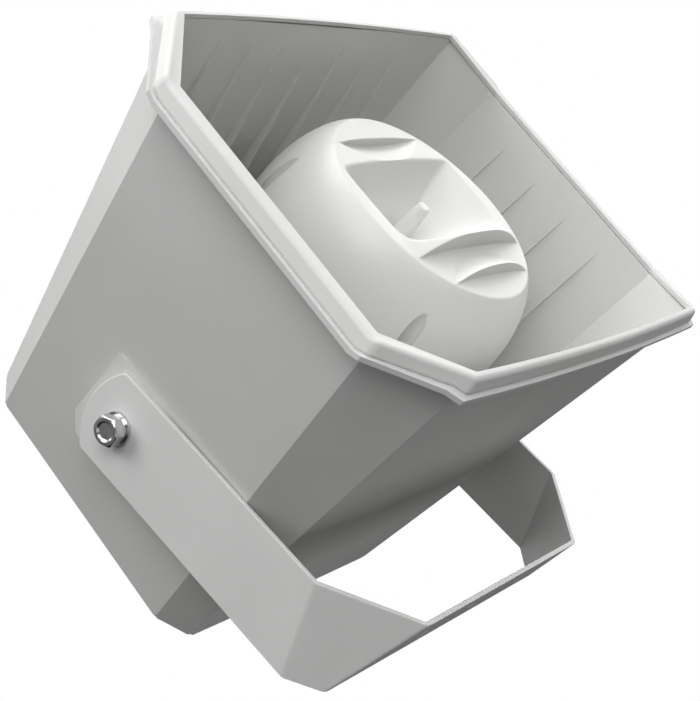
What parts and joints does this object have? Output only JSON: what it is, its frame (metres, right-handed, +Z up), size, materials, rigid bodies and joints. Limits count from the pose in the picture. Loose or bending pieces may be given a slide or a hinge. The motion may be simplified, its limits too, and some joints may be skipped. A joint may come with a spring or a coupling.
{
  "type": "horn loudspeaker",
  "caption": "Outdoor two-way sound projector: ribbed octagonal horn with a central dome and small horn, a woofer behind it, hung in a folded steel tilt bracket.",
  "frame": {"origin": "middle of the underside of the bracket's base, at its centre fixing hole", "axes": "+Z up from the base, the mouth faces -Y tilted up 6.5 degrees, X runs along the tilt pivot"},
  "size_m": [0.376, 0.3175, 0.3434],
  "materials": {
    "housing_plastic": "satin moulded light grey",
    "dome_plastic": "satin moulded light grey",
    "inner_plastic": "satin moulded light grey",
    "bracket_paint": "powder coated light grey",
    "plated_steel": "bright plated",
    "brass": "turned",
    "rubber": "matte",
    "black_paint": "black pressed steel",
    "zinc_steel": "zinc plated",
    "ferrite": "ground ferrite",
    "copper_wire": "enamelled copper wire",
    "cone_paper": "black pulp",
    "spider_cloth": "impregnated cloth",
    "diaphragm_film": "amber film",
    "core_steel": "laminated",
    "winding_tape": "yellow tape",
    "board_green": "solder mask",
    "capacitor_sleeve": "film sleeve",
    "terminal_plastic": "moulded",
    "gland_plastic": "moulded grey"
  },
  "bodies": {
    "bracket": {"bracket": "bracket_paint"},
    "horn": {"horn_shell": "housing_plastic", "front_frame": "housing_plastic", "rear_cover": "housing_plastic", "rear_gasket": "rubber", "rear_cover_screws": "plated_steel", "baffle": "inner_plastic", "baffle_screws": "plated_steel", "dome": "dome_plastic", "dome_rear_cap": "dome_plastic", "dome_carrier": "inner_plastic", "dome_screws": "plated_steel", "carrier_screws": "plated_steel", "hf_adapter": "inner_plastic", "hf_screws": "plated_steel", "hf_top_plate": "zinc_steel", "hf_magnet": "ferrite", "hf_yoke": "zinc_steel", "hf_surround": "diaphragm_film", "woofer_gasket": "rubber", "woofer_basket": "black_paint", "woofer_screws": "plated_steel", "woofer_top_plate": "zinc_steel", "woofer_magnet": "ferrite", "woofer_yoke": "zinc_steel", "woofer_surround": "rubber", "woofer_spider": "spider_cloth", "transformer_core": "core_steel", "transformer_winding": "winding_tape", "transformer_screws": "plated_steel", "crossover_board": "board_green", "board_screws": "plated_steel", "crossover_capacitor": "capacitor_sleeve", "crossover_coil": "copper_wire", "terminal_block": "terminal_plastic", "cable_gland": "gland_plastic", "gland_nut": "gland_plastic", "pivot_bolts": "plated_steel", "flat_washers": "plated_steel", "spring_washers": "plated_steel", "pivot_inserts": "brass"},
    "woofer_mover": {"woofer_cone": "cone_paper", "woofer_voice_coil": "copper_wire", "woofer_dust_cap": "cone_paper"},
    "tweeter_mover": {"hf_diaphragm": "diaphragm_film", "hf_voice_coil": "copper_wire"}
  },
  "joints": [
    {"name": "tilt", "type": "hinge", "parent": "bracket", "child": "horn", "pos_m": [0, 0.0445, 0.187], "axis": [-1, 0, 0], "range_deg": [0, 190]},
    {"name": "woofer_travel", "type": "slide", "parent": "horn", "child": "woofer_mover", "axis": [0, -0.9936, 0.1132], "range_m": [-0.003, 0.003], "stiffness_N_per_m": 1500, "deforming": ["woofer_surround", "woofer_spider"]},
    {"name": "tweeter_travel", "type": "slide", "parent": "horn", "child": "tweeter_mover", "axis": [0, -0.9936, 0.1132], "range_m": [-0.0003, 0.0003], "stiffness_N_per_m": 2000, "deforming": ["hf_surround"]}
  ]
}
